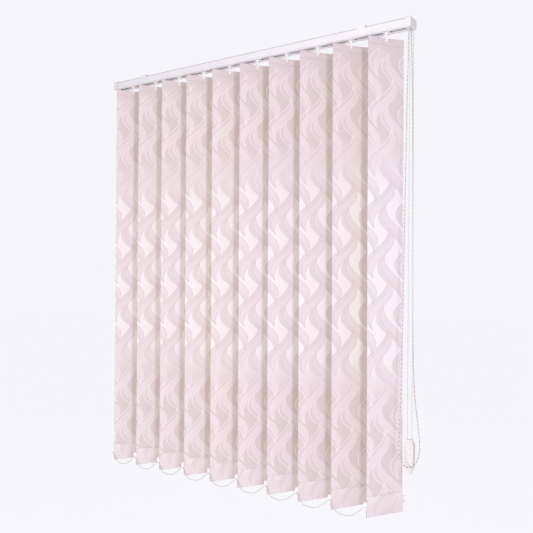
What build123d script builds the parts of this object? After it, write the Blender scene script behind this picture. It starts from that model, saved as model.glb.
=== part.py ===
from build123d import *
import math
import os

# Vertical blind, in millimetres. X runs along the rail, the room is on the -Y side, Z is up.
# The origin lies on the ceiling, midway between the screw holes of the two ceiling clips.

# Layout of the slats
slat_count = 10
slat_pitch = 116.0
stack_pitch = 24.0
rest_turn = 61.0  # degrees that the slats are turned from the rail
end_margin = 85.0  # from the outermost pivots to the ends of the blind
hang_gap = 14.3  # from the underside of the end caps to the slats
overrun = 2.0  # how far a cut runs past the face that it opens
glide = 0.25  # clearance of flat faces that slide
free = 0.3  # clearance of round faces that turn freely
bearing = 0.05  # radial clearance of a wheel on its pin

# Ceiling clips
clip_spacing = 900.0
clip_length = 30.0
clip_plate = 1.5
clip_head_room = 3.0  # space for the screw head over the rail
clip_arm = 1.2
clip_toe = 1.0
clip_hole = 4.5

# Rail, a C section that is open below
rail_width = 41.0
rail_height = 25.0
rail_wall = 1.5
rail_floor = 1.6  # thickness of the top wall and of the running lips
rail_slot = 14.0
rail_flange = 2.0
rail_step = 1.2  # how far the side walls stand back under the top flange
rail_round = 0.7

# End caps
cap_wall = 1.5
cap_length = 18.0
cap_end = 2.0
cap_grip = 3.0  # how far the rail enters the cap
cap_fit = 0.15
cap_round = 1.3
boss_radius = 5.0
boss_length = 3.0

# Tilt rod and chain wheel
rod_radius = 3.0
rod_drop = 12.0  # below the top of the rail
rod_groove_width = 1.4
rod_groove_depth = 0.8
rod_grooves = 3
wheel_width = 6.0
wheel_inset = 10.0  # from the end of the blind to the middle of the wheel
wheel_flange = 0.9  # height of the flanges over the chain's middle line
wheel_pockets = 5
pocket_depth = 0.5
chain_ball = 4.5
ball_pitch = 12.0
chain_drop = 9.0  # how far the strands hang straight below the cap
# The loop below that, from the front strand to the rear one: X from the wheel, then Y and Z
chain_route = (
    (-4.5, -13.0, -262.0),
    (-5.0, -31.0, -1036.0),
    (-7.5, -40.0, -1190.0),
    (-8.0, -42.5, -1235.0),
    (-5.0, -36.0, -1268.0),
    (5.0, -25.0, -1290.0),
    (18.0, -12.0, -1288.0),
    (25.5, 6.0, -1266.0),
    (23.0, 25.0, -1230.0),
    (15.0, 34.0, -1190.0),
    (6.5, 17.0, -1036.0),
    (3.5, 15.5, -400.0),
)

# Traverse cord and its pulleys
cord_diameter = 1.8
cord_side = 14.0  # each run's distance from the rail's middle plane
cord_drop = 6.0  # below the top of the rail
cord_play = 0.2  # of the cord in a groove
pulley_width = 4.0
pulley_rim = 0.9  # height of the rims over the cord's middle line
pin_radius = 1.5
guide_radius = 3.5  # of the cord's middle line round the guide pulleys
guide_inset = 8.5  # from the end of the blind to the pins of the guide pulleys
tongue_thickness = 2.0
tongue_width = 18.0

# Carriers, their spacer strips and the turning stems
carrier_length = 20.0
carrier_width = 24.0
carrier_head_gap = 1.0  # free space under the rail's top wall
carrier_round = 1.5
shoe_width = 34.8
shoe_height = 4.0
neck_length = 14.0
neck_width = 13.0
neck_drop = 1.0  # below the rail
clamp_height = 7.0
clamp_reach = 5.0
clamp_bore = 2.6
strip_thickness = 0.4
strip_height = 5.0
strip_head_height = 8.0
strip_head_length = 1.5
strip_lanes = 6
strip_lane_pitch = 0.9
strip_first_lane = 4.9  # from the middle plane
strip_drop = 8.0  # below the top of the rail
stem_radius = 3.0
stem_head_radius = 5.0
stem_head_height = 3.0
stem_head_drop = 16.7  # below the top of the rail
stem_teeth = 10
tooth_depth = 0.9
hook_width = 7.0
prong_thickness = 1.8
prong_length = 9.5  # below the top of the slat
hook_drop = 4.0  # from the neck's underside to the hook's body
nib_width = 6.0
nib_height = 2.4

# Slats with their top and bottom hems
slat_width = 127.0
slat_length = 1390.0
cloth = 0.5
top_hem = 19.0
bottom_hem = 57.0
hem_ramp = 5.0
pocket_gap = 0.2
window_width = 11.0
window_height = 4.2
window_drop = 6.0  # from the top of the slat to the window

# Hangers in the top hems and weights in the bottom hems
hanger_width = 42.0
hanger_height = 15.0
hanger_thickness = 1.2
weight_width = 123.0
weight_height = 48.0
weight_thickness = 2.8
weight_round = 4.0
tab_reach = 9.0  # beyond the edge of the slat
tab_height = 16.0
tab_round = 3.0
eye_height = 30.0  # of the chain's eyes over the lower edge of the slat
eye_reach = 5.0
eye_radius = 2.6

# Bottom chains
arc_share = 0.45  # of the shorter run that an arc takes up
link_diameter = 2.4
link_sag = 41.0
link_seat = 3.0  # half the straight stretch in an eye
sag_x_shares = (0.14, 0.34, 0.66, 0.86)
sag_z_shares = (0.60, 1.0, 1.0, 0.60)

# Cord weight
bob_offset = 3.5  # from the cord's drop to the weight's middle
bob_hang = 1175.0  # from the underside of the end caps to the weight
bob_height = 98.0
bob_width = 29.0
bob_depth = 16.5
bob_neck_width_share = 0.55
bob_neck_depth_share = 0.60
bob_shoulder = 18.0
bob_side = 66.0  # from the top to where the nose starts
bob_nose_share = 0.9  # width at the nose's start
bob_nose_middle_share = 0.66
bob_nose_drop_share = 0.66
bob_tip_share = 0.35  # depth of the nose's tip
bob_round = 1.6
bob_slot = 5.2
bob_sheave_drop = 22.0
bob_sheave_radius = 7.0

# Heights and places that follow from the sizes above
rail_top = -clip_plate - clip_head_room
rail_bottom = rail_top - rail_height
track = rail_bottom + rail_floor
ceiling_of_track = rail_top - rail_floor
cap_bottom = rail_bottom - cap_wall
slat_top = cap_bottom - hang_gap
slat_bottom = slat_top - slat_length
blind_half = slat_pitch * (slat_count - 1) / 2 + end_margin
rail_half = blind_half - cap_length + cap_grip
rod_z = rail_top - rod_drop
cord_z = rail_top - cord_drop
strip_z = rail_top - strip_drop
chain_radius = wheel_pockets * ball_pitch / math.pi / 2
chain_x = blind_half - wheel_inset
guide_x = blind_half - guide_inset
drop_x = guide_x + guide_radius
guide_z = cord_z - guide_radius
bob_x = drop_x - bob_offset
bob_top = cap_bottom - bob_hang
sheave_z = bob_top - bob_sheave_drop
idle_x = cap_end + boss_length + glide + cord_side + pulley_rim - blind_half
top_pocket = hanger_thickness + 2 * pocket_gap
bottom_pocket = weight_thickness + 2 * pocket_gap
eye_offset = slat_width / 2 + eye_reach
eye_z = slat_bottom + eye_height


def pivot(number):
    """The X place of a slat's pivot, counted from 0 at the left."""
    return (number - (slat_count - 1) / 2) * slat_pitch


def block(x0, x1, y0, y1, z0, z1):
    """A box between two corners."""
    middle = ((x0 + x1) / 2, (y0 + y1) / 2, (z0 + z1) / 2)
    return Pos(*middle) * Box(x1 - x0, y1 - y0, z1 - z0)


def rod_x(radius, x0, x1, y, z):
    """A round bar along X."""
    return Pos((x0 + x1) / 2, y, z) * Rot(0, 90, 0) * Cylinder(radius, x1 - x0)


def rod_y(radius, y0, y1, x, z):
    """A round bar along Y."""
    return Pos(x, (y0 + y1) / 2, z) * Rot(90, 0, 0) * Cylinder(radius, y1 - y0)


def rod_up(radius, z0, z1):
    """A round bar along Z on the origin."""
    return Pos(0, 0, (z0 + z1) / 2) * Cylinder(radius, z1 - z0)


def across_rail(face, length):
    """Turns a section drawn with Y to the right and Z up into a bar along X."""
    return extrude(Plane.YZ * face, length / 2, both=True)


def on_slat(number, piece):
    """Puts a piece drawn flat on the XZ plane at its pivot, turned as the slats hang at rest."""
    return Pos(pivot(number), 0, 0) * Rot(0, 0, rest_turn) * piece


# The rail and what closes and holds it


def headrail():
    """C section with a top flange for the clips and two running lips beside the slot."""
    middle = (rail_top + rail_bottom) / 2
    section = Pos(0, middle) * RectangleRounded(rail_width, rail_height, rail_round)
    inner_width = rail_width - 2 * (rail_step + rail_wall)
    section -= Pos(0, (track + ceiling_of_track) / 2) * Rectangle(inner_width, ceiling_of_track - track)
    section -= Pos(0, rail_bottom) * Rectangle(rail_slot, 2 * (rail_floor + overrun))
    recess_height = rail_height - rail_flange - rail_floor
    recess_z = rail_bottom + rail_floor + recess_height / 2
    for side in (-1, 1):
        section -= Pos(side * rail_width / 2, recess_z) * Rectangle(2 * rail_step, recess_height)
    return across_rail(section, 2 * rail_half)


def ceiling_clip():
    """Spring clip: a plate under the ceiling with two arms whose toes hold the rail's flange."""
    arm_y = rail_width / 2 + glide
    toe_z = rail_top - rail_flange - glide
    half = clip_length / 2
    clip = block(-half, half, -arm_y - clip_arm, arm_y + clip_arm, -clip_plate, 0)
    for side in (-1, 1):
        arm = block(-half, half, arm_y, arm_y + clip_arm, toe_z - clip_toe, 0)
        arm += block(-half, half, arm_y - clip_toe, arm_y + clip_arm, toe_z - clip_toe, toe_z)
        arm += block(-half, half, arm_y - clip_toe, arm_y, rail_top + glide, rail_top + glide + clip_toe)
        clip += arm if side > 0 else mirror(arm, Plane.XZ)
    clip -= rod_up(clip_hole / 2, -clip_plate - overrun, overrun)
    return clip


def ceiling_clips():
    return Compound(children=[Pos(side * clip_spacing / 2, 0, 0) * ceiling_clip() for side in (-1, 1)])


def cap_shell():
    """A cap with its end wall at +X: a moulded box that takes the end of the rail."""
    width = rail_width + 2 * cap_wall
    shell = block(blind_half - cap_length, blind_half, -width / 2, width / 2, cap_bottom, rail_top + cap_wall)
    shell = fillet(shell.edges().filter_by(Axis.X), cap_round)
    shell = fillet(shell.faces().sort_by(Axis.X)[-1].edges(), cap_round)
    inner_half = rail_width / 2 + cap_fit
    inner_end = blind_half - cap_end
    start = blind_half - cap_length - overrun
    return shell - block(start, inner_end, -inner_half, inner_half, rail_bottom - cap_fit, rail_top + cap_fit)


def rod_boss():
    """The socket on a cap's end wall that the end of the tilt rod turns in."""
    inner_end = blind_half - cap_end
    boss = rod_x(boss_radius, inner_end - boss_length, inner_end, 0, rod_z)
    return boss - rod_x(rod_radius + bearing, inner_end - boss_length - overrun, inner_end, 0, rod_z)


def control_end_cap():
    """Cap over the chain wheel, with pins for the cord's guide pulleys and openings below."""
    cap = cap_shell() + rod_boss()
    inner_half = rail_width / 2 + cap_fit
    near = cord_side - pulley_width / 2
    far = cord_side + pulley_width / 2 + glide
    for side in (-1, 1):
        pin = rod_y(pin_radius, near, inner_half, guide_x, guide_z)
        pin += rod_y(2 * pin_radius, far, inner_half, guide_x, guide_z)
        cap += pin if side > 0 else mirror(pin, Plane.XZ)
        cord_hole = Cylinder(cord_diameter, 2 * (cap_wall + overrun))
        cap -= Pos(drop_x, side * cord_side, cap_bottom) * cord_hole
    slot_width = chain_ball + 4 * glide
    slot_length = 2 * chain_radius + chain_ball + 2 * glide
    chain_slot = Box(slot_width, slot_length, 2 * (cap_wall + overrun))
    chain_slot = fillet(chain_slot.edges().filter_by(Axis.Z), cap_round)
    return cap - Pos(chain_x, 0, cap_bottom) * chain_slot


def idle_end_cap():
    """Cap at the far end, with a tongue in the rail whose pin carries the cord's return pulley."""
    cap = mirror(cap_shell() + rod_boss(), Plane.YZ)
    pulley_top = cord_z + pulley_width / 2
    tongue_z = pulley_top + glide
    half = tongue_width / 2
    tongue = block(cap_end - blind_half, idle_x, -half, half, tongue_z, tongue_z + tongue_thickness)
    tongue += Pos(idle_x, 0, tongue_z + tongue_thickness / 2) * Cylinder(half, tongue_thickness)
    pin = Pos(idle_x, 0, 0) * rod_up(pin_radius, pulley_top - pulley_width, tongue_z)
    return cap + tongue + pin


# The tilt drive


def tilt_rod():
    """Grooved bar that turns every carrier's stem, from one cap's socket to the other's."""
    section = Circle(rod_radius)
    for turn in range(rod_grooves):
        groove = Pos(rod_radius, 0) * Rectangle(2 * rod_groove_depth, rod_groove_width)
        section -= Rot(0, 0, 360 / rod_grooves * turn) * groove
    half = blind_half - cap_end - glide
    return Pos(0, 0, rod_z) * across_rail(section, 2 * half)


def chain_wheel():
    """Wheel on the rod's end, grooved for the ball chain, with a pocket for each ball."""
    rim = chain_radius + wheel_flange
    wheel = rod_x(rim, -wheel_width / 2, wheel_width / 2, 0, 0)
    groove = chain_ball / 2 + free
    wheel -= Rot(0, 90, 0) * Torus(chain_radius, groove)
    for number in range(wheel_pockets):
        angle = math.radians(360 / wheel_pockets * number)
        place = (0, chain_radius * math.cos(angle), chain_radius * math.sin(angle))
        wheel -= Pos(*place) * Sphere(groove + pocket_depth)
    wheel -= rod_x(rod_radius + bearing, -wheel_width, wheel_width, 0, 0)
    return Pos(chain_x, 0, rod_z) * wheel


# The traverse drive


def pulley(cord_radius):
    """Grooved wheel about Z whose groove holds the cord's middle line at cord_radius."""
    wheel = Cylinder(cord_radius + pulley_rim, pulley_width)
    groove = cord_diameter / 2 + cord_play
    wheel -= Torus(cord_radius, groove)
    wheel -= Cylinder(cord_radius + pulley_rim + overrun, 2 * groove) - Cylinder(cord_radius, 2 * groove)
    return wheel - Cylinder(pin_radius + bearing, pulley_width + overrun)


def guide_pulley(side):
    return Pos(guide_x, side * cord_side, guide_z) * Rot(90, 0, 0) * pulley(guide_radius)


def return_pulley():
    return Pos(idle_x, 0, cord_z) * pulley(cord_side)


def bob_pulley():
    return Pos(bob_x, 0, sheave_z) * Rot(90, 0, 0) * pulley(bob_sheave_radius)


def cord_weight():
    """Bullet-shaped weight: the front and side outlines cut each other, and a slot takes the pulley."""
    nose = bob_top - bob_side
    tip = bob_top - bob_height
    drop = nose - (bob_height - bob_side) * bob_nose_drop_share

    def outline(full, neck_share, tip_half):
        half = full / 2
        nose_half = half * bob_nose_share
        right = Polyline(
            (0, bob_top),
            (half * neck_share, bob_top),
            (half, bob_top - bob_shoulder),
            (nose_half, nose),
        )
        middle = (half * bob_nose_middle_share, drop)
        right += ThreePointArc((nose_half, nose), middle, (tip_half, tip))
        right += Polyline((tip_half, tip), (0, tip), (0, bob_top))
        face = make_face(right)
        return face + mirror(face, Plane.YZ)

    front = outline(bob_width, bob_neck_width_share, bob_width / 2 * bob_tip_share)
    side = outline(bob_depth, bob_neck_depth_share, bob_depth / 2 * bob_tip_share)
    body = extrude(Plane.XZ * front, bob_depth, both=True)
    body &= Rot(0, 0, 90) * extrude(Plane.XZ * side, bob_width, both=True)
    body = fillet(body.edges(), bob_round)
    reach = bob_sheave_radius + pulley_rim + free
    body -= block(-reach, reach, -bob_slot / 2, bob_slot / 2, sheave_z, bob_top + overrun)
    body -= rod_y(reach, -bob_slot / 2, bob_slot / 2, 0, sheave_z)
    body += rod_y(pin_radius, -bob_slot / 2, bob_slot / 2, 0, sheave_z)
    return Pos(bob_x, 0, 0) * body


# The carriers and their stems


def lane_y(number):
    """The Y place of the lane that the strip of a carrier runs in."""
    return strip_first_lane + number % strip_lanes * strip_lane_pitch


def carrier_housing(number):
    """Closed housing that slides on the lips, bored for the rod and the stem, with lanes for strips."""
    base = track + glide
    top = ceiling_of_track - carrier_head_gap
    half = carrier_length / 2
    body = block(-half, half, -carrier_width / 2, carrier_width / 2, base, top)
    body = fillet(body.edges().filter_by(Axis.X).group_by(Axis.Z)[-1], carrier_round)
    shoes = block(-half, half, -shoe_width / 2, shoe_width / 2, base, base + shoe_height)
    body += fillet(shoes.edges().filter_by(Axis.Z), carrier_round)
    neck_z = rail_bottom - neck_drop
    neck = block(-neck_length / 2, neck_length / 2, -neck_width / 2, neck_width / 2, neck_z, base)
    body += fillet(neck.edges().filter_by(Axis.Z), carrier_round)
    body -= rod_x(rod_radius + free, -carrier_length, carrier_length, 0, rod_z)
    head_z = rail_top - stem_head_drop
    body -= rod_up(stem_radius + bearing, neck_z - overrun, head_z)
    body -= rod_up(stem_head_radius + free, head_z - stem_head_height - free, head_z + free)
    for lane in range(strip_lanes):
        pulls_here = lane_y(lane) in (lane_y(number), lane_y(number + 1))
        height = (strip_height if pulls_here else strip_head_height) + 2 * free
        body -= Pos(0, lane_y(lane), strip_z) * Box(2 * carrier_length, strip_lane_pitch, height)
    if number == 0:
        body += cord_clamp()
    return body


def cord_clamp():
    """The lead carrier's ear, which the front run of the cord passes through."""
    half = carrier_length / 2
    edge = carrier_width / 2
    rise = clamp_height / 2
    ear = block(-half, half, -edge - clamp_reach, -edge, cord_z - rise, cord_z + rise)
    ear = fillet(ear.edges().filter_by(Axis.X).group_by(Axis.Y)[0], carrier_round)
    return ear - rod_x(clamp_bore / 2, -carrier_length, carrier_length, -cord_side, cord_z)


def spacer_strip(number):
    """Strip that reaches from one carrier through the next, with a head at each end that it pulls on."""
    reach = carrier_length / 2 + glide
    right = reach + strip_head_length
    left = -slat_pitch - reach - strip_head_length
    y0 = lane_y(number) - strip_thickness / 2
    y1 = lane_y(number) + strip_thickness / 2
    half = strip_height / 2
    head = strip_head_height / 2
    strip = block(left, right, y0, y1, strip_z - half, strip_z + half)
    strip += block(reach, right, y0, y1, strip_z - head, strip_z + head)
    return strip + block(left, left + strip_head_length, y0, y1, strip_z - head, strip_z + head)


def carrier(number):
    """One carrier, and from the second on the strip that ties it to the one on its left."""
    pieces = [Pos(pivot(number), 0, 0) * carrier_housing(number)]
    if number > 0:
        pieces.append(Pos(pivot(number), 0, 0) * spacer_strip(number))
    return Compound(children=pieces) if len(pieces) > 1 else pieces[0]


def stem():
    """Turning stem: a toothed head in the housing, a round neck and a hook with two prongs."""
    head_z = rail_top - stem_head_drop
    piece = rod_up(stem_head_radius, head_z - stem_head_height, head_z)
    for tooth in range(stem_teeth):
        gap = Box(2 * tooth_depth, tooth_depth, 2 * stem_head_height + overrun)
        piece -= Rot(0, 0, 360 / stem_teeth * tooth) * Pos(stem_head_radius, 0, head_z) * gap
    hook_top = rail_bottom - neck_drop - hook_drop
    piece += rod_up(stem_radius, hook_top, head_z)
    mouth = (top_pocket / 2 + cloth) + free
    outer = mouth + prong_thickness
    half = hook_width / 2
    piece += block(-half, half, -outer, outer, slat_top + free, hook_top)
    tip = slat_top - prong_length
    shoulder = tip + half
    prong_face = Polygon(
        (-half, slat_top + free),
        (-half, shoulder),
        (-half / 2, tip),
        (half / 2, tip),
        (half, shoulder),
        (half, slat_top + free),
        align=None,
    )
    prong = extrude(Plane.XZ * prong_face, prong_thickness)
    piece += Pos(0, -mouth, 0) * prong
    piece += Pos(0, outer, 0) * prong
    nib_z = slat_top - window_drop - free
    return piece + block(-nib_width / 2, nib_width / 2, -mouth, mouth, nib_z - nib_height, nib_z)


# The slats and their inserts


def hem_loop(half, fold_edge, fold_z, straight_end, tail):
    """A closed outline about the slat's plane: a round fold, two straight sides and a tail."""
    right = [(half, fold_z), (half, straight_end)] + tail
    left = [(-y, z) for y, z in reversed(right)]
    loop = Polyline(*right, *left)
    return make_face(loop + ThreePointArc(left[-1], (0, fold_edge), right[0]))


def hem(pocket, height, edge_z, way):
    """Section of a hem from its fold at edge_z: the outer outline less the pocket in it."""
    outer = pocket / 2 + cloth
    fold_z = edge_z + way * outer
    end_z = edge_z + way * height
    outline = hem_loop(outer, edge_z, fold_z, end_z, [(cloth / 2, end_z + way * hem_ramp)])
    return outline - hem_loop(pocket / 2, edge_z + way * cloth, fold_z, end_z - way * cloth, [])


def slat():
    """One strip of cloth, folded to a pocket at each end, with a window for the hook."""
    top_end = slat_top - top_hem
    bottom_end = slat_bottom + bottom_hem
    section = Pos(0, (top_end + bottom_end) / 2) * Rectangle(cloth, top_end - bottom_end)
    section += hem(top_pocket, top_hem, slat_top, -1)
    section += hem(bottom_pocket, bottom_hem, slat_bottom, 1)
    return across_rail(section, slat_width) - window()


def window():
    half = window_width / 2
    top = slat_top - window_drop
    return block(-half, half, -hem_ramp, hem_ramp, top - window_height, top)


def hanger():
    """Stiff card in the top hem, with the same window as the cloth."""
    half = hanger_width / 2
    top = slat_top - cloth - top_pocket / 2 - pocket_gap
    card = block(-half, half, -hanger_thickness / 2, hanger_thickness / 2, top - hanger_height, top)
    return fillet(card.edges().filter_by(Axis.Y), tab_round) - window()


def slat_weight():
    """Flat weight in the bottom hem, with an eyed tab at each end for the bottom chains."""
    half = weight_width / 2
    low = slat_bottom + cloth + bottom_pocket / 2 + pocket_gap
    thick = weight_thickness / 2
    plate = block(-half, half, -thick, thick, low, low + weight_height)
    plate = fillet(plate.edges().filter_by(Axis.Y), weight_round)
    reach = slat_width / 2 + tab_reach
    tabs = block(-reach, reach, -thick, thick, eye_z - tab_height / 2, eye_z + tab_height / 2)
    plate += fillet(tabs.edges().filter_by(Axis.Y), tab_round)
    for side in (-1, 1):
        plate -= rod_y(eye_radius, -weight_thickness, weight_thickness, side * eye_offset, eye_z)
    return plate


def inserts():
    return Compound(children=[hanger(), slat_weight()])


# Cords and chains: straight runs joined by arcs


def cord_tube(name, points, diameter, tight=None):
    """A round tube along a route. Tight corners, given by number, have a radius of their own."""
    tight = tight or {}
    route = [Vector(*point) for point in points]
    radii = []
    for i in range(1, len(route) - 1):
        before = route[i] - route[i - 1]
        after = route[i + 1] - route[i]
        turn = math.radians(before.get_angle(after))
        shorter = min(before.length, after.length)
        radii.append(tight.get(i, arc_share * shorter / math.tan(turn / 2)))
    path = FilletPolyline(*route, radius=radii)
    start = Plane(origin=path @ 0, z_dir=path % 0)
    tube = sweep(start * Circle(diameter / 2), path=path)
    ratio = tube.volume / (math.pi * diameter**2 / 4 * path.length)
    print(name, "length", round(path.length, 1), "volume ratio", round(ratio, 4))
    print(name, "radii", [round(radius, 1) for radius in radii])
    return tube


def bottom_chain(name, side):
    """Chain through the eyes on one side of all the slats, hanging in a bow between neighbours."""
    turn = math.radians(rest_turn)
    across = side * eye_offset * math.cos(turn)
    y = side * eye_offset * math.sin(turn)
    points = []
    for number in range(slat_count):
        x = pivot(number) + across
        points += [(x - link_seat, y, eye_z), (x + link_seat, y, eye_z)]
        if number < slat_count - 1:
            for x_share, z_share in zip(sag_x_shares, sag_z_shares):
                points.append((x + x_share * slat_pitch, y, eye_z - z_share * link_sag))
    return cord_tube(name, points, link_diameter)


def rail_cord():
    """The cord's two runs inside the rail, from the guide pulleys round the return pulley."""
    end = idle_x - cord_side
    points = [
        (drop_x, -cord_side, guide_z),
        (drop_x, -cord_side, cord_z),
        (end, -cord_side, cord_z),
        (end, cord_side, cord_z),
        (drop_x, cord_side, cord_z),
        (drop_x, cord_side, guide_z),
    ]
    snug = bearing / 2
    bends = {1: guide_radius - snug, 2: cord_side - snug, 3: cord_side - snug, 4: guide_radius - snug}
    return cord_tube("rail_cord", points, cord_diameter, bends)


def traverse_cord():
    """The hanging loop of the cord: taut from the guide pulleys to the weight's pulley and back."""
    low = sheave_z - bob_sheave_radius
    start_z = guide_z - bearing
    points = [
        (drop_x, -cord_side, start_z),
        (bob_x - bob_sheave_radius, 0, low),
        (bob_x + bob_sheave_radius, 0, low),
        (drop_x, cord_side, start_z),
    ]
    snug = bob_sheave_radius - bearing
    return cord_tube("traverse_cord", points, cord_diameter, {1: snug, 2: snug})


def control_chain():
    """The ball chain's loop: over the wheel, down both sides and through a wide bow at the bottom."""
    top = rod_z + chain_radius
    joint = free / 2
    straight = cap_bottom - chain_drop
    points = [
        (chain_x, -joint, top),
        (chain_x, -chain_radius, top),
        (chain_x, -chain_radius, straight),
    ]
    points += [(chain_x + x, y, z) for x, y, z in chain_route]
    points += [
        (chain_x, chain_radius, straight),
        (chain_x, chain_radius, top),
        (chain_x, joint, top),
    ]
    over = chain_radius - free
    return cord_tube("control_chain", points, chain_ball, {1: over, len(points) - 2: over})


# Every node of the blind

nodes = {
    "headrail": headrail(),
    "ceiling_clips": ceiling_clips(),
    "control_end_cap": control_end_cap(),
    "idle_end_cap": idle_end_cap(),
    "tilt_rod": tilt_rod(),
    "chain_wheel": chain_wheel(),
    "guide_pulley_front": guide_pulley(-1),
    "guide_pulley_rear": guide_pulley(1),
    "return_pulley": return_pulley(),
    "weight_pulley": bob_pulley(),
    "cord_weight": cord_weight(),
    "rail_cord": rail_cord(),
    "traverse_cord": traverse_cord(),
    "control_chain": control_chain(),
    "bottom_chain_front": bottom_chain("bottom_chain_front", -1),
    "bottom_chain_rear": bottom_chain("bottom_chain_rear", 1),
}
one_stem = stem()
one_slat = slat()
one_inserts = inserts()
for number in range(slat_count):
    label = f"{number + 1:02d}"
    nodes[f"carrier_{label}"] = carrier(number)
    nodes[f"stem_{label}"] = on_slat(number, one_stem)
    nodes[f"slat_{label}"] = on_slat(number, one_slat)
    nodes[f"slat_inserts_{label}"] = on_slat(number, one_inserts)

os.makedirs("parts", exist_ok=True)
for name, node in nodes.items():
    export_step(node, f"parts/{name}.step")
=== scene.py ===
import math
import bpy
from mathutils import Matrix, Vector


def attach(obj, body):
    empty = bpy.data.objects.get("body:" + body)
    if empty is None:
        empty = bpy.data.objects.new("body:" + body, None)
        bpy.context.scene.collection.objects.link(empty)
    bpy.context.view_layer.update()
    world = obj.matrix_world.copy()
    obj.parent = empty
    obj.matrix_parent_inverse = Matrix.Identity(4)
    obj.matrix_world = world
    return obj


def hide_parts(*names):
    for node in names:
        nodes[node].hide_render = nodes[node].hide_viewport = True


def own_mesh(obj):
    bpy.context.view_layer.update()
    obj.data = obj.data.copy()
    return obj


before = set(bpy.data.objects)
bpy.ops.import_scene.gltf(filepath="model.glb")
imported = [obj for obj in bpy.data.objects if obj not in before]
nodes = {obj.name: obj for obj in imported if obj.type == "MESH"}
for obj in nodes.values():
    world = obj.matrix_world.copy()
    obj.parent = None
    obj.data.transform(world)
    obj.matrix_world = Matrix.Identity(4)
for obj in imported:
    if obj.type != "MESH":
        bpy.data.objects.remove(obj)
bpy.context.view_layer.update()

# Vertical blind in metres, in the frame of the CAD model: X along the rail, the room at -Y, Z up.

# Slats
SLATS = 10
PITCH = 0.116
TURN = math.radians(61.0)  # from the rail, at rest
SLAT_WIDTH = 0.127
SLAT_TOP = -0.0453
SLAT_BOTTOM = -1.4353
CLOTH = 0.0005  # thickness
EYE_OFFSET = 0.0685  # from a slat's pivot to the eyes that hold the bottom chains
EYE_Z = -1.4053

# Control chain, draw cord and the weight on the cord
CHAIN_X = 0.597
WHEEL_Z = -0.0165
CHAIN_R = 0.009549  # of the chain's middle line round its wheel
DROP_X = 0.602  # where the cord leaves the cap
BOB_X = 0.5985
SHEAVE_Z = -1.228
SHEAVE_R = 0.007


def pivot(number):
    return (number - (SLATS - 1) / 2) * PITCH


def slat_place(number):
    """Where a slat that is modelled round the origin stands at rest."""
    return Matrix.Translation((pivot(number), 0, 0)) @ Matrix.Rotation(TURN, 4, "Z")


def eye(number, side):
    """The middle of the eye at a slat's front edge (side -1) or rear edge (side 1)."""
    across = side * EYE_OFFSET * math.cos(TURN)
    return pivot(number) + across, side * EYE_OFFSET * math.sin(TURN), EYE_Z


# Camera of the photograph

PHOTO_SIDE = 533  # pixels
FOCAL_LENGTH = 680  # pixels
SENSOR = 36  # millimetres
CAMERA_PLACE = (1.37029, -1.82861, -0.73942)
YAW = math.radians(34.808)
PITCH_UP = math.radians(0.68)
ROLL = math.radians(0.312)
level_share = math.cos(PITCH_UP)
forward = Vector((-math.sin(YAW) * level_share, math.cos(YAW) * level_share, math.sin(PITCH_UP)))
level = Vector((math.cos(YAW), math.sin(YAW), 0))
over = level.cross(forward)
right = math.cos(ROLL) * level + math.sin(ROLL) * over
up = -math.sin(ROLL) * level + math.cos(ROLL) * over
camera_data = bpy.data.cameras.new("camera")
camera_data.sensor_width = SENSOR
camera_data.lens = FOCAL_LENGTH / PHOTO_SIDE * SENSOR
camera = bpy.data.objects.new("camera", camera_data)
bpy.context.scene.collection.objects.link(camera)
turned = Matrix((right, up, -forward)).transposed().to_4x4()
camera.matrix_world = Matrix.Translation(CAMERA_PLACE) @ turned
bpy.context.scene.camera = camera


# Strip of cloth that a slat is folded from, with a hem at each end and its flaps on the room's side

TOP_HEM = 0.019
BOTTOM_HEM = 0.057
TOP_HALF = 0.00105  # from the middle plane to the walls of the top hem
BOTTOM_HALF = 0.00185  # and of the bottom hem, which is round the weight
FLAP_GAP = 0.0005  # from the middle plane to the end of a flap
TOP_TAPER = 0.0022  # height over which the top hem closes at its seam
BOTTOM_TAPER = 0.0055
TOP_ROWS = (0.012, 0.006)  # rows of the mesh on the top hem, below its fold
BOTTOM_ROWS = (0.040, 0.020)  # and on the bottom hem, above its fold
FOLD_STEPS = 8
BODY_STEPS = 40
BODY_TOP = SLAT_TOP - 0.030
BODY_BOTTOM = SLAT_BOTTOM + BOTTOM_HEM + 0.012
SEAM_SIDE = 0.0001  # how far the cloth stands off the middle plane beside a seam
TOP_SEAM_ROWS = (0.0004, 0.004)  # rows of the mesh below the top seam
BOTTOM_SEAM_ROW = 0.0005  # and above the bottom seam
TOP_SEAM = SLAT_TOP - TOP_HEM
BOTTOM_SEAM = SLAT_BOTTOM + BOTTOM_HEM


def fold(half, middle, way):
    """Half a turn of cloth over the top of a hem (way 1), or under its bottom (way -1), as (y, z)."""
    angles = [math.pi * step / FOLD_STEPS for step in range(FOLD_STEPS + 1)]
    return [(-way * half * math.cos(angle), middle + way * half * math.sin(angle)) for angle in angles]


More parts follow.
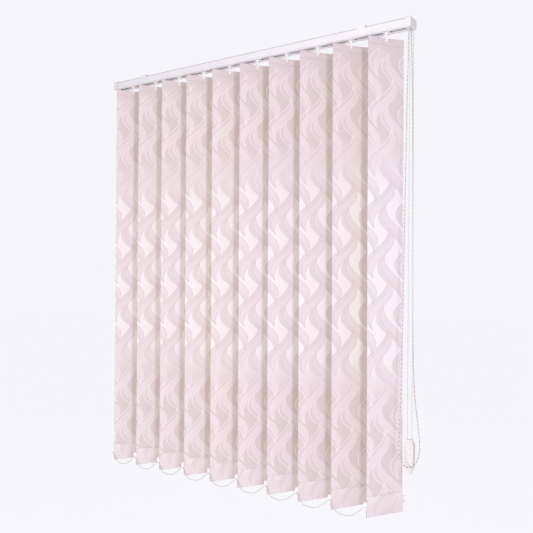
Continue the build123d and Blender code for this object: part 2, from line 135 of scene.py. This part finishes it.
def strip_profile():
    """The strip's middle line from the end of the top flap to the end of the bottom flap, as (y, z)."""
    points = [(-FLAP_GAP, TOP_SEAM), (-TOP_HALF, TOP_SEAM + TOP_TAPER)]
    points += [(-TOP_HALF, SLAT_TOP - row) for row in TOP_ROWS]
    points += fold(TOP_HALF, SLAT_TOP - CLOTH / 2 - TOP_HALF, 1)
    points += [(TOP_HALF, SLAT_TOP - row) for row in reversed(TOP_ROWS)]
    points.append((TOP_HALF, TOP_SEAM + TOP_TAPER))
    points += [(side, TOP_SEAM - row) for side, row in zip((SEAM_SIDE, 0.0), TOP_SEAM_ROWS)]
    for step in range(BODY_STEPS + 1):
        points.append((0.0, BODY_TOP + (BODY_BOTTOM - BODY_TOP) * step / BODY_STEPS))
    points += [(SEAM_SIDE, BOTTOM_SEAM + BOTTOM_SEAM_ROW), (BOTTOM_HALF, BOTTOM_SEAM - BOTTOM_TAPER)]
    points += [(BOTTOM_HALF, SLAT_BOTTOM + row) for row in BOTTOM_ROWS]
    points += fold(BOTTOM_HALF, SLAT_BOTTOM + CLOTH / 2 + BOTTOM_HALF, -1)
    points += [(-BOTTOM_HALF, SLAT_BOTTOM + row) for row in reversed(BOTTOM_ROWS)]
    points += [(-BOTTOM_HALF, BOTTOM_SEAM - BOTTOM_TAPER), (-FLAP_GAP, BOTTOM_SEAM)]
    return points


profile = strip_profile()
walked = [0.0]  # length of cloth from the end of the top flap to each point of the profile
for a, b in zip(profile, profile[1:]):
    walked.append(walked[-1] + math.dist(a, b))


# Materials

MATH, RANGE, MIX = "ShaderNodeMath", "ShaderNodeMapRange", "ShaderNodeMix"


def paint(hex_colour):
    """An sRGB hex colour as linear RGBA."""
    values = [int(hex_colour[i:i + 2], 16) / 255 for i in (1, 3, 5)]
    return [v / 12.92 if v <= 0.04045 else ((v + 0.055) / 1.055) ** 2.4 for v in values] + [1.0]


def add(tree, kind, links=(), **settings):
    """Adds a node. Its links are its inputs in order, or a dict of them, and each is a node, a socket or a
    constant."""
    node = tree.nodes.new(kind)
    for name, value in settings.items():
        setattr(node, name, value)
    for key, value in links.items() if isinstance(links, dict) else enumerate(links):
        if isinstance(value, bpy.types.Node):
            value = value.outputs[0]
        if isinstance(value, bpy.types.NodeSocket):
            tree.links.new(value, node.inputs[key])
        else:
            node.inputs[key].default_value = value
    return node


def new_material(name):
    material = bpy.data.materials.new(name)
    material.use_nodes = True
    tree = material.node_tree
    return material, tree, tree.nodes["Principled BSDF"]


CLOUDS = 60.0  # in a metre
GRIT_SPREAD = 0.06  # of the roughness, from grain to grain
# painted shade: a mauve-grey line along the long top edges of the rail and end caps
EDGE_SHADE_TONE = "#C4BAC2"
EDGE_SHADE_INNER = 0.0170  # from the rail's middle plane to where the painted shade line begins to show
EDGE_SHADE_OUTER = 0.0195  # and to where it shows most
EDGE_SHADE_BLEND = 0.0002
RAIL_EDGE_SHADE_Z = -0.0066  # the painted shade line lies over these heights
CAP_EDGE_SHADE_Z = -0.0044


def even_finish(name, tones, roughness, grains, depth, edge_shade_z=None):
    """Moulded plastic, powder coat or spun thread: even colour with a faint cloudiness and a fine grain,
    so many grains in a metre. Above the height given as the last argument, a painted shade line greys the
    long edges."""
    material, tree, shader = new_material(name)
    place = add(tree, "ShaderNodeTexCoord").outputs["Object"]
    cloud = add(tree, "ShaderNodeTexNoise", {"Vector": place, "Scale": CLOUDS, "Detail": 3.0})
    shade = add(tree, "ShaderNodeValToRGB", {"Fac": cloud})
    for stop, position, tone in zip(shade.color_ramp.elements, (0.3, 0.7), tones):
        stop.position = position
        stop.color = paint(tone)
    finish = shade.outputs["Color"]
    # painted shade line along the long edges, above the given height
    if edge_shade_z is not None:
        split = add(tree, "ShaderNodeSeparateXYZ", [place])
        high = add(tree, RANGE, [split.outputs["Z"], edge_shade_z - EDGE_SHADE_BLEND, edge_shade_z + EDGE_SHADE_BLEND])
        side = add(tree, MATH, [split.outputs["Y"]], operation="ABSOLUTE")
        edge = add(tree, RANGE, [side, EDGE_SHADE_INNER, EDGE_SHADE_OUTER])
        edge_shade = add(tree, MATH, [high, edge], operation="MULTIPLY")
        finish = add(tree, MIX, {0: edge_shade, 6: finish, 7: paint(EDGE_SHADE_TONE)}, data_type="RGBA").outputs[2]
    tree.links.new(finish, shader.inputs["Base Color"])
    grit = add(tree, "ShaderNodeTexNoise", {"Vector": place, "Scale": grains, "Detail": 2.0})
    rough = add(tree, RANGE, [grit, 0.0, 1.0, roughness - GRIT_SPREAD, roughness + GRIT_SPREAD])
    tree.links.new(rough.outputs["Result"], shader.inputs["Roughness"])
    bump = add(tree, "ShaderNodeBump", {"Height": grit, "Strength": 0.25, "Distance": depth})
    tree.links.new(bump.outputs["Normal"], shader.inputs["Normal"])
    shader.inputs["IOR"].default_value = 1.48
    return material


DIE_LINES = (12.0, 900.0, 900.0)  # in a metre along X, Y and Z, drawn 1.1 mm apart so that they show


def drawn_metal(name, tones, roughness):
    """Drawn metal: fine lines along X from the die."""
    material, tree, shader = new_material(name)
    place = add(tree, "ShaderNodeTexCoord").outputs["Object"]
    stretch = add(tree, "ShaderNodeMapping", {"Vector": place, "Scale": DIE_LINES})
    lines = add(tree, "ShaderNodeTexNoise", {"Vector": stretch, "Scale": 1.0, "Detail": 3.0})
    shade = add(tree, "ShaderNodeValToRGB", {"Fac": lines})
    for stop, tone in zip(shade.color_ramp.elements, tones):
        stop.color = paint(tone)
    tree.links.new(shade.outputs["Color"], shader.inputs["Base Color"])
    rough = add(tree, RANGE, [lines, 0.0, 1.0, roughness - 0.08, roughness + 0.1])
    tree.links.new(rough.outputs["Result"], shader.inputs["Roughness"])
    bump = add(tree, "ShaderNodeBump", {"Height": lines, "Strength": 0.15, "Distance": 0.0002})
    tree.links.new(bump.outputs["Normal"], shader.inputs["Normal"])
    shader.inputs["Metallic"].default_value = 1.0
    return material


LAY_ANGLE = 0.7  # of the strands, in radians
LAY_SCALE = 105.0  # of a wave texture, which then has a ridge every 3 mm


def braided_cord(name, tones):
    """Braided polyester: two crossing lays of strands, drawn coarse so that they show, with a soft sheen."""
    material, tree, shader = new_material(name)
    place = add(tree, "ShaderNodeTexCoord").outputs["Object"]
    ridges = []
    for lean in (1, -1):
        slant = add(tree, "ShaderNodeMapping", {"Vector": place, "Rotation": (0, lean * LAY_ANGLE, 0)})
        lay = add(tree, "ShaderNodeTexWave", {"Vector": slant, "Scale": LAY_SCALE}, bands_direction="Z")
        ridges.append(lay.outputs["Fac"])
    braid = add(tree, MATH, ridges, operation="MAXIMUM")
    shade = add(tree, "ShaderNodeValToRGB", {"Fac": braid})
    for stop, tone in zip(shade.color_ramp.elements, tones):
        stop.color = paint(tone)
    tree.links.new(shade.outputs["Color"], shader.inputs["Base Color"])
    bump = add(tree, "ShaderNodeBump", {"Height": braid, "Strength": 0.5, "Distance": 0.0003})
    tree.links.new(bump.outputs["Normal"], shader.inputs["Normal"])
    shader.inputs["Roughness"].default_value = 0.7
    shader.inputs["Sheen Weight"].default_value = 0.3
    return material


# Woven figure, in metres of cloth
REPEAT = 0.1474  # height
COLUMNS = 0.105  # width
RIGHT_SHARE = 0.6  # of the width, measured to the right of a ribbon's middle line
RIBBON = 0.0165  # half of a ribbon's greatest width, measured level
TIP = 0.0004  # half of its width at its tips
BULGE = 1.7  # power of the sine that swells it, more for longer tips
SWING = 0.0185  # how far its S bends from a straight slant
SIDE_STRIP = 0.0200  # greatest width of the strip at its left
RIBBON_BLEND = 0.0006
BAND_BLEND = 0.0005
OUTLINE = (0.0020, 0.0007)  # from a ribbon's edge to where the outline has faded and where it is full
FINE_LINE = (0.0024, 0.0011)  # and the same for the fine line at the end of the strip
FIRST = 0.0620  # from the end of the top flap to the first ribbon's tip on the last slat
# Each ribbon's start across and along the cloth, how far it travels across in a repeat, and which way
RIBBONS = ((0.0700, FIRST, 0.066, 1.0), (0.0830, FIRST + REPEAT / 2, 0.053, -1.0))

# How the strips were cut: from the last slat to the first the figure starts lower on each, and further left
# or right, and on the last slat it leans
CUT_ALONG = 0.0029
CUT_ACROSS = (0.0218, 0.0176, 0.0170, 0.0158, 0.0103, 0.0082, 0.0039, 0.0056, 0.0098, -0.0070)
LAST_LEAN = 0.022

# Where the weave changes along a strip, and where the painted sheen and highlight lie, from the end of its
# top flap
FAINT = (0.042, 0.066)
OUTLINED = (0.055, 0.105)
# painted sheen: between these heights the leaves grow paler and the lines darker, over the middle of the slat
SHEEN_FROM = (0.30, 0.46)
SHEEN_TO = (1.09, 0.97)
# painted highlight on the bottom flap, strongest at its seam
FLAP_HIGHLIGHT = (walked[-1] - 0.075, walked[-1])
WARP = (800.0, 90.0, 1.0)  # threads in a metre, drawn 1.25 mm apart so that they show
WEFT = (60.0, 800.0, 1.0)


def woven_figure(tree, across, along):
    """The shares of ribbon, band, outline and fine line at a place on the cloth. The two S-shaped ribbons
    mirror each other, half a repeat apart. A band is a ribbon with the strip at its left, which ends in the
    fine line."""
    ribbons, bands, outlines, lines = [], [], [], []
    for start, first, travel, lean in RIBBONS:
        turns = add(tree, MATH, [along, 1 / REPEAT, -first / REPEAT], operation="MULTIPLY_ADD")
        share = add(tree, MATH, [turns], operation="FRACT")
        whole = add(tree, MATH, [share, 2 * math.pi], operation="MULTIPLY")
        wave = add(tree, MATH, [whole], operation="SINE")
        drift = add(tree, MATH, [share, lean * travel], operation="MULTIPLY")
        swing = add(tree, MATH, [wave, -lean * SWING, drift], operation="MULTIPLY_ADD")
        away = add(tree, MATH, [across, swing], operation="SUBTRACT")
        placed = add(tree, MATH, [away, start], operation="SUBTRACT")
        window = [placed, RIGHT_SHARE * COLUMNS, (RIGHT_SHARE - 1) * COLUMNS]
        offset = add(tree, MATH, window, operation="WRAP")
        half_turn = add(tree, MATH, [share, math.pi], operation="MULTIPLY")
        swell = add(tree, MATH, [half_turn], operation="SINE")
        bulge = add(tree, MATH, [swell, BULGE], operation="POWER")
        half = add(tree, MATH, [bulge, RIBBON, TIP], operation="MULTIPLY_ADD")
        spread = add(tree, MATH, [offset], operation="ABSOLUTE")
        reach = add(tree, MATH, [spread, half], operation="SUBTRACT")
        ribbons.append(add(tree, RANGE, [reach, RIBBON_BLEND, -RIBBON_BLEND]))
        near_edge = add(tree, MATH, [reach], operation="ABSOLUTE")
        outlines.append(add(tree, RANGE, [near_edge, *OUTLINE]))
        left = add(tree, MATH, [offset, half], operation="ADD")
        beside = add(tree, MATH, [swell, SIDE_STRIP, left], operation="MULTIPLY_ADD")
        line_off = add(tree, MATH, [beside], operation="ABSOLUTE")
        lines.append(add(tree, RANGE, [line_off, *FINE_LINE]))
        inside = add(tree, RANGE, [beside, -BAND_BLEND, BAND_BLEND])
        right_off = add(tree, MATH, [offset, half], operation="SUBTRACT")
        not_past = add(tree, RANGE, [right_off, BAND_BLEND, -BAND_BLEND])
        bands.append(add(tree, MATH, [inside, not_past], operation="MULTIPLY"))
    ribbon, band, outline, fine = [add(tree, MATH, pair, operation="MAXIMUM")
                                   for pair in (ribbons, bands, outlines, lines)]
    bare = add(tree, MATH, [1.0, ribbon], operation="SUBTRACT")
    line = add(tree, MATH, [fine, bare], operation="MULTIPLY")
    return ribbon, band, outline, line


def jacquard(name, tones):
    """Stiffened polyester jacquard: matt raised ribbons on satin leaves. A painted sheen makes the leaves
    paler and the lines darker in the middle of the slat's height, and a painted highlight pales the bottom
    flap towards its seam. The UV map "cloth" is in metres of the woven cloth and "strip" in metres of the
    slat."""
    material, tree, shader = new_material(name)
    uv = add(tree, "ShaderNodeUVMap", uv_map="cloth").outputs["UV"]
    split = add(tree, "ShaderNodeSeparateXYZ", [uv])
    strip = add(tree, "ShaderNodeUVMap", uv_map="strip")
    height = add(tree, "ShaderNodeSeparateXYZ", [strip]).outputs["Y"]
    shapes = woven_figure(tree, split.outputs["X"], split.outputs["Y"])
    # the top flap and the cloth just below it are cut where the figure is faint
    below_flap = add(tree, RANGE, [height, *FAINT, 0.15, 1.0])
    ribbon, band, outline, line = [add(tree, MATH, [shape, below_flap], operation="MULTIPLY")
                                   for shape in shapes]
    # near the top the ribbons are woven as outlines only
    filled = add(tree, RANGE, [height, *OUTLINED, 0.1, 1.0])
    ribbon, band = [add(tree, MATH, [shape, filled], operation="MULTIPLY") for shape in (ribbon, band)]
    # painted sheen over the middle of the slat's height
    upper = add(tree, RANGE, [height, *SHEEN_FROM])
    lower = add(tree, RANGE, [height, *SHEEN_TO])
    body = add(tree, MATH, [upper, lower], operation="MULTIPLY")
    # the bottom flap, doubled over the white weight, carries a painted highlight that is strongest at its
    # seam
    flap = add(tree, RANGE, [height, *FLAP_HIGHLIGHT, 0.0, 0.75])
    pale = add(tree, MATH, [body, flap], operation="MAXIMUM")
    tinted = []
    for ends, middle in tones:
        tint = add(tree, MIX, {0: pale, 6: paint(ends), 7: paint(middle)}, data_type="RGBA")
        tinted.append(tint.outputs[2])
    line_share = add(tree, MATH, [line, 0.8], operation="MULTIPLY")
    outline_share = add(tree, MATH, [outline, 0.6], operation="MULTIPLY")
    colour = tinted[0]
    for share, tint in zip((band, ribbon, line_share, outline_share), tinted[1:]):
        colour = add(tree, MIX, {0: share, 6: colour, 7: tint}, data_type="RGBA").outputs[2]
    upright = add(tree, "ShaderNodeMapping", {"Vector": uv, "Scale": WARP})
    warp = add(tree, "ShaderNodeTexNoise", {"Vector": upright, "Scale": 1.0})
    sideways = add(tree, "ShaderNodeMapping", {"Vector": uv, "Scale": WEFT})
    weft = add(tree, "ShaderNodeTexNoise", {"Vector": sideways, "Scale": 1.0})
    threads = add(tree, MATH, [warp, weft], operation="ADD")
    tone = add(tree, RANGE, [threads, 0.6, 1.4, 0.96, 1.03])
    shaded = add(tree, "ShaderNodeVectorMath", {0: colour, "Scale": tone}, operation="SCALE")
    tree.links.new(shaded.outputs["Vector"], shader.inputs["Base Color"])
    matt = add(tree, RANGE, [ribbon, 0.0, 1.0, 0.55, 0.75])
    tree.links.new(matt.outputs["Result"], shader.inputs["Roughness"])
    raised = add(tree, MATH, [threads, 0.3, ribbon], operation="MULTIPLY_ADD")
    bump = add(tree, "ShaderNodeBump", {"Height": raised, "Strength": 0.35, "Distance": 0.0003})
    tree.links.new(bump.outputs["Normal"], shader.inputs["Normal"])
    shader.inputs["Sheen Weight"].default_value = 0.15
    return material


coat = even_finish("white_powder_coat", ("#E9E7ED", "#EBE9EF"), 0.38, 2600.0, 0.0001, RAIL_EDGE_SHADE_Z)
cap_plastic = even_finish("moulded_cap_plastic", ("#E5E4E9", "#EBEAEE"), 0.45, 3200.0, 0.0001, CAP_EDGE_SHADE_Z)
acetal = even_finish("acetal", ("#EAE9E6", "#F2F1EF"), 0.35, 2400.0, 0.0001)
hook_plastic = even_finish("white_hook_plastic", ("#F4F3F5", "#FBFAFC"), 0.3, 2400.0, 0.00005)
gloss = even_finish("polished_white_plastic", ("#DDD8DA", "#E3DFE1"), 0.22, 1200.0, 0.00003)
clip_coat = even_finish("painted_spring_steel", ("#E6E5E9", "#EEEDF0"), 0.42, 2600.0, 0.0001)
# the thread's tan is partly its own colour and partly painted shade between and under the chains' balls
thread = even_finish("spun_thread", ("#A89C8D", "#BDB2A4"), 0.8, 900.0, 0.0001)
aluminium = drawn_metal("drawn_aluminium", ("#B9BABD", "#D3D4D6"), 0.3)
cord = braided_cord("braided_polyester", ("#B9B3B8", "#D8D3D7"))
# leaf, band, ribbon, fine line and outline, each at the slat's ends and in its middle, where a painted sheen
# makes the leaves paler and the lines darker
cloth = jacquard("jacquard_cloth", (
    ("#DFD1D4", "#F3ECEF"), ("#E2D5D9", "#E4D9DC"), ("#EADEE2", "#E8DDE1"), ("#F6EEF2", "#DBCBCF"),
    ("#F4ECF0", "#D9CACD"),
))
reverse = jacquard("jacquard_reverse", (
    ("#CFBAA8", "#D1BCAB"), ("#C6AF9C", "#C8B19E"), ("#C2AB97", "#C4AD9A"), ("#BDA691", "#BFA894"),
    ("#D6C4B4", "#D8C6B6"),
))

finishes = {
    "headrail": coat, "ceiling_clips": clip_coat, "control_end_cap": cap_plastic, "idle_end_cap": cap_plastic,
    "tilt_rod": aluminium, "chain_wheel": acetal, "guide_pulley_front": acetal, "guide_pulley_rear": acetal,
    "return_pulley": acetal, "weight_pulley": acetal, "cord_weight": gloss, "rail_cord": cord,
}
for number in range(1, SLATS + 1):
    finishes[f"carrier_{number:02d}"] = acetal
    finishes[f"stem_{number:02d}"] = hook_plastic
    finishes[f"slat_inserts_{number:02d}"] = hook_plastic
for name, material in finishes.items():
    nodes[name].data.materials.clear()
    nodes[name].data.materials.append(material)


# Cords and chains

def spline_of(name, points):
    """A NURBS curve whose control points are the route's points."""
    curve = bpy.data.curves.new(name, "CURVE")
    curve.dimensions = "3D"
    curve.resolution_u = 12
    spline = curve.splines.new("NURBS")
    spline.points.add(len(points) - 1)
    for point, place in zip(spline.points, points):
        point.co = (*place, 1.0)
    spline.order_u = 3
    spline.use_endpoint_u = True
    item = bpy.data.objects.new(name, curve)
    bpy.context.scene.collection.objects.link(item)
    return item


def line_of(points):
    """The points along the route's NURBS curve."""
    item = spline_of("route", points)
    bpy.context.view_layer.update()
    mesh = bpy.data.meshes.new_from_object(item)
    line = [vertex.co.copy() for vertex in mesh.vertices]
    bpy.data.meshes.remove(mesh)
    bpy.data.objects.remove(item)
    return line


def length_of(line):
    return sum((b - a).length for a, b in zip(line, line[1:]))


def spaced(line, pitch):
    """Points along a line at an even pitch."""
    count = int(length_of(line) / pitch)
    gap = length_of(line) / count
    places, passed, target = [], 0.0, gap / 2
    for a, b in zip(line, line[1:]):
        run = (b - a).length
        while run and passed + run >= target and len(places) < count:
            places.append(a.lerp(b, (target - passed) / run))
            target += gap
        passed += run
    return places


def joined(name, items):
    """The items as one smooth piece, with its place in its mesh."""
    bpy.ops.object.select_all(action="DESELECT")
    for item in items:
        item.select_set(True)
    bpy.context.view_layer.objects.active = items[0]
    bpy.ops.object.join()
    piece = bpy.context.view_layer.objects.active
    piece.name = name
    bpy.ops.object.transform_apply(location=True, rotation=True, scale=True)
    bpy.ops.object.shade_smooth()
    return piece


BALL_STRETCH = 1.3  # how much taller than wide a chain's balls are


def ball_chain(name, points, ball, pitch, thread_size, finish, thread_finish):
    """Moulded balls on a thread: one ball is modelled, and its copies follow the route."""
    line = line_of(points)
    string = spline_of(name + "_thread", points)
    string.data.bevel_depth = thread_size / 2
    string.data.bevel_resolution = 1
    string.data.use_fill_caps = True
    bpy.ops.object.select_all(action="DESELECT")
    string.select_set(True)
    bpy.context.view_layer.objects.active = string
    bpy.ops.object.convert(target="MESH")
    items = [bpy.context.view_layer.objects.active]
    items[0].data.materials.clear()
    items[0].data.materials.append(thread_finish)
    bpy.ops.mesh.primitive_uv_sphere_add(segments=8, ring_count=6, radius=ball / 2)
    model = bpy.context.view_layer.objects.active
    bpy.ops.object.mode_set(mode="EDIT")
    bpy.ops.mesh.select_all(action="SELECT")
    bpy.ops.transform.resize(value=(1, 1, BALL_STRETCH))
    bpy.ops.object.mode_set(mode="OBJECT")
    model.data.materials.append(finish)
    for place in spaced(line, pitch):
        copy = bpy.data.objects.new(name + "_ball", model.data.copy())
        copy.location = place
        bpy.context.scene.collection.objects.link(copy)
        items.append(copy)
    bpy.data.objects.remove(model)
    return joined(name, items), line


# Bottom chains

LINK_BALL = 0.0028
LINK_PITCH = 0.0044
LINK_THREAD = 0.0018
EYE_RUN = 0.003  # how far a chain runs level each side of the middle of an eye
# A bow's points from the middle of an eye: along the rail, and down
BOW = ((0.0140, 0.0250), (0.0330, 0.0360), (0.0700, 0.0340), (0.0942, 0.0170))


def bottom_route(side):
    """The points of a bottom chain, which hangs in a bow from each eye to the next."""
    points = []
    for number in range(SLATS):
        x, y, z = eye(number, side)
        points += [(x - EYE_RUN, y, z), (x + EYE_RUN, y, z)]
        if number < SLATS - 1:
            points += [(x + along, y, z - drop) for along, drop in BOW]
    return points


for word, side in (("front", -1), ("rear", 1)):
    route = bottom_route(side)
    chain, line = ball_chain(f"link_chain_{word}", route, LINK_BALL, LINK_PITCH, LINK_THREAD, gloss, thread)
    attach(chain, f"bottom_chain_{word}")
    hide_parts(f"bottom_chain_{word}")
    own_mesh(chain)


# Clips on the ends of the slats' weights, which hold the bottom chains

CLIP_SIZE = (0.0085, 0.0046, 0.0148)
CLIP_ROUND = 0.0010
WELL_RIM = 0.0012
WELL_DEPTH = 0.0004
CLIP_OUT = 0.0047  # from a slat's edge to the middle of a clip
CLIP_UP = 0.0090  # from the eye to the middle of a clip


def chain_clip():
    """A snap-on clip, from a block: its edges are rounded and its broad faces have a shallow well."""
    bpy.ops.object.select_all(action="DESELECT")
    bpy.ops.mesh.primitive_cube_add(size=1)
    clip = bpy.context.view_layer.objects.active
    bpy.ops.object.mode_set(mode="EDIT")
    bpy.ops.mesh.select_all(action="SELECT")
    bpy.ops.transform.resize(value=CLIP_SIZE)
    bpy.ops.mesh.bevel(offset=CLIP_ROUND, segments=2, affect="EDGES")
    bpy.ops.object.mode_set(mode="OBJECT")
    for face in clip.data.polygons:
        face.select = abs(face.normal.y) > 0.99
    bpy.ops.object.mode_set(mode="EDIT")
    bpy.ops.mesh.select_mode(type="FACE")
    bpy.ops.mesh.inset(thickness=WELL_RIM, depth=-WELL_DEPTH, use_individual=True)
    bpy.ops.object.mode_set(mode="OBJECT")
    clip.data.materials.append(hook_plastic)
    return clip


model = chain_clip()
for number in range(SLATS):
    pair = []
    for side in (-1, 1):
        clip = bpy.data.objects.new("clip", model.data.copy())
        on_slat = Matrix.Translation((side * (SLAT_WIDTH / 2 + CLIP_OUT), 0, EYE_Z + CLIP_UP))
        clip.matrix_world = slat_place(number) @ on_slat
        bpy.context.scene.collection.objects.link(clip)
        pair.append(clip)
    clips = joined(f"chain_clips_{number + 1:02d}", pair)
    bpy.ops.object.shade_smooth_by_angle(angle=math.radians(40))
    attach(clips, f"vane_{number + 1:02d}")
bpy.data.objects.remove(model)


# Control chain and draw cord

CONTROL_BALL = 0.0045
CONTROL_PITCH = 0.012
CONTROL_THREAD = 0.0024
CORD = 0.0018  # diameter
TOP_Z = WHEEL_Z + CHAIN_R
chain_route = [
    (CHAIN_X, -0.00015, TOP_Z), (CHAIN_X, -CHAIN_R, TOP_Z), (CHAIN_X, -CHAIN_R, -0.040),
    (0.5925, -0.0130, -0.262), (0.5905, -0.0385, -1.036), (0.5870, -0.0480, -1.190),
    (0.5865, -0.0500, -1.232), (0.5900, -0.0430, -1.262), (0.6010, -0.0290, -1.281),
    (0.6150, -0.0120, -1.280), (0.6225, 0.0060, -1.260), (0.6200, 0.0250, -1.230),
    (0.6120, 0.0340, -1.190), (0.6000, 0.0150, -1.036), (0.6005, 0.0155, -0.400),
    (CHAIN_X, CHAIN_R, -0.040), (CHAIN_X, CHAIN_R, TOP_Z), (CHAIN_X, 0.00015, TOP_Z),
]
control, control_line = ball_chain("ball_chain", chain_route, CONTROL_BALL, CONTROL_PITCH, CONTROL_THREAD,
                                   gloss, thread)
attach(control, "rail")
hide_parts("control_chain")

cord_route = [
    (DROP_X, -0.014, -0.01405), (0.59159, -0.00013, -1.2240), (BOB_X - SHEAVE_R, 0, SHEAVE_Z - SHEAVE_R),
    (BOB_X + SHEAVE_R, 0, SHEAVE_Z - SHEAVE_R), (0.60547, 0.00013, -1.2240), (DROP_X, 0.014, -0.01405),
]
loop = spline_of("draw_cord", cord_route)
loop.data.bevel_depth = CORD / 2
loop.data.bevel_resolution = 3
loop.data.use_fill_caps = True
loop.data.materials.append(cord)
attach(loop, "rail")
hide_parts("traverse_cord")
length_of(line_of(cord_route))


# Slats of cloth

COLUMN_COUNT = 16
ROOM_SIDE = Vector((math.sin(TURN), -math.cos(TURN), 0))  # the way the right side of the weave faces
HEM_RISE = 0.0045  # of the top hem at a slat's right edge
HEM_FADE = 0.09  # height over which the rise dies out
WAVE = 0.0006  # how far the edges wander to and fro
WAVE_RATE = 7.0  # radians in a metre
WAVE_SHIFT = 1.7  # radians from slat to slat
WAVE_START = 0.2  # height over which the wave grows below the top


def cloth_slat(number):
    """One strip, shaped from a grid, with a top hem that is folded a little out of square and edges that
    wander a little below it."""
    bpy.ops.object.select_all(action="DESELECT")
    bpy.ops.mesh.primitive_grid_add(x_subdivisions=COLUMN_COUNT, y_subdivisions=len(profile) - 1, size=1)
    piece = bpy.context.view_layer.objects.active
    piece.name = f"cloth_slat_{number + 1:02d}"
    mesh = piece.data
    mesh.materials.append(cloth)
    mesh.materials.append(reverse)
    mesh.uv_layers[0].name = "cloth"
    mesh.uv_layers.new(name="strip")
    layer, strip_layer = mesh.uv_layers["cloth"], mesh.uv_layers["strip"]
    cuts = SLATS - 1 - number
    lean = 0.0 if cuts else LAST_LEAN
    rows = len(profile)
    spots = {}
    for vertex in mesh.vertices:
        column = round((vertex.co.x + 0.5) * COLUMN_COUNT)
        row = rows - 1 - round((vertex.co.y + 0.5) * (rows - 1))
        x = (column / COLUMN_COUNT - 0.5) * SLAT_WIDTH
        y, z = profile[row]
        side = x / (SLAT_WIDTH / 2)
        z += HEM_RISE * max(0.0, side) * max(0.0, 1 - (SLAT_TOP - z) / HEM_FADE)
        wave = WAVE * math.sin(z * WAVE_RATE + number * WAVE_SHIFT)
        y += wave * side * min(1.0, (SLAT_TOP - z) / WAVE_START)
        spots[vertex.index] = (column / COLUMN_COUNT * SLAT_WIDTH, walked[row])
        vertex.co = (x, y, z)
    for corner in mesh.loops:
        across, along = spots[corner.vertex_index]
        strip_layer.data[corner.index].uv = (across, along)
        woven_place = (across + CUT_ACROSS[number] + lean * along, along - cuts * CUT_ALONG)
        layer.data[corner.index].uv = woven_place
    piece.matrix_world = slat_place(number)
    bpy.ops.object.transform_apply(location=True, rotation=True, scale=True)
    thickness = piece.modifiers.new("thickness", "SOLIDIFY")
    thickness.thickness = CLOTH
    thickness.offset = 0
    bpy.ops.object.modifier_apply(modifier="thickness")
    for face in mesh.polygons:
        face.material_index = 0 if face.normal.dot(ROOM_SIDE) > 0 else 1
    bpy.ops.object.shade_smooth_by_angle(angle=math.radians(50))
    return piece


for number in range(SLATS):
    piece = cloth_slat(number)
    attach(piece, f"vane_{number + 1:02d}")
    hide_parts(f"slat_{number + 1:02d}")


# Studio: a pale floor, a warm fill from all round, a cool lamp at the right, and lamps in front and behind

BACKDROP = "#F6F6FA"
FLOOR_SIZE = 40
FLOOR_Z = -2.1
GLOW_SHARE = 0.9  # of what is seen of the floor, and the rest takes the blind's shadow
GLOW = 1.0435  # over 1, so that together with its darker matt part the floor matches the backdrop


def seen_rays(tree):
    """1 for rays from the camera, from gloss or through glass, and 0 for those that light a matt surface."""
    rays = add(tree, "ShaderNodeLightPath").outputs
    either = add(tree, MATH, [rays["Is Camera Ray"], rays["Is Glossy Ray"]], operation="MAXIMUM")
    return add(tree, MATH, [either, rays["Is Transmission Ray"]], operation="MAXIMUM")


def backdrop_paper():
    """Pale matt paper. Most of what the camera sees of it is its own even glow."""
    material = bpy.data.materials.new("pale_backdrop")
    material.use_nodes = True
    tree = material.node_tree
    tree.nodes.clear()
    part = add(tree, MATH, [seen_rays(tree), GLOW_SHARE], operation="MULTIPLY")
    glow = add(tree, "ShaderNodeEmission", {"Color": paint(BACKDROP), "Strength": GLOW})
    matte = add(tree, "ShaderNodeBsdfDiffuse", {"Color": paint(BACKDROP)})
    mix = add(tree, "ShaderNodeMixShader", [part, matte, glow])
    add(tree, "ShaderNodeOutputMaterial", {"Surface": mix})
    return material


bpy.ops.object.select_all(action="DESELECT")
bpy.ops.mesh.primitive_plane_add(size=FLOOR_SIZE, location=(0, 0, FLOOR_Z))
floor = bpy.context.view_layer.objects.active
floor.name = "floor"
bpy.ops.object.transform_apply(location=True, rotation=True, scale=True)
floor.data.materials.append(backdrop_paper())

world = bpy.data.worlds.new("studio")
bpy.context.scene.world = world
world.use_nodes = True
tree = world.node_tree
tree.nodes.clear()
seen = seen_rays(tree)
pale = add(tree, "ShaderNodeBackground", {"Color": paint(BACKDROP), "Strength": 1.0})
fill = add(tree, "ShaderNodeBackground", {"Color": paint("#FFFCF5"), "Strength": 0.60})
both = add(tree, "ShaderNodeMixShader", [seen, fill, pale])
add(tree, "ShaderNodeOutputWorld", {"Surface": both})


def soft_lamp(name, place, target, size, power, colour):
    data = bpy.data.lights.new(name, "AREA")
    data.shape = "RECTANGLE"
    data.size, data.size_y = size
    data.energy = power
    data.color = paint(colour)[:3]
    lamp = bpy.data.objects.new(name, data)
    bpy.context.scene.collection.objects.link(lamp)
    lamp.location = place
    lamp.rotation_euler = (Vector(target) - Vector(place)).to_track_quat("-Z", "Y").to_euler()


soft_lamp("key_light", (1.4, -1.3, -0.6), (-1.0, -1.1, -0.65), (0.2, 1.5), 17.0, "#E8EBFF")
soft_lamp("front_light", (0.6, -2.6, -0.95), (0, 0, -0.4), (1.0, 0.4), 27.5, "#FBF7F4")
soft_lamp("rear_light", (-1.3, 2.4, 0.9), (0, 0, -0.5), (1.6, 1.2), 20.0, "#FFFDFA")

bpy.context.scene.view_settings.view_transform = "Standard"
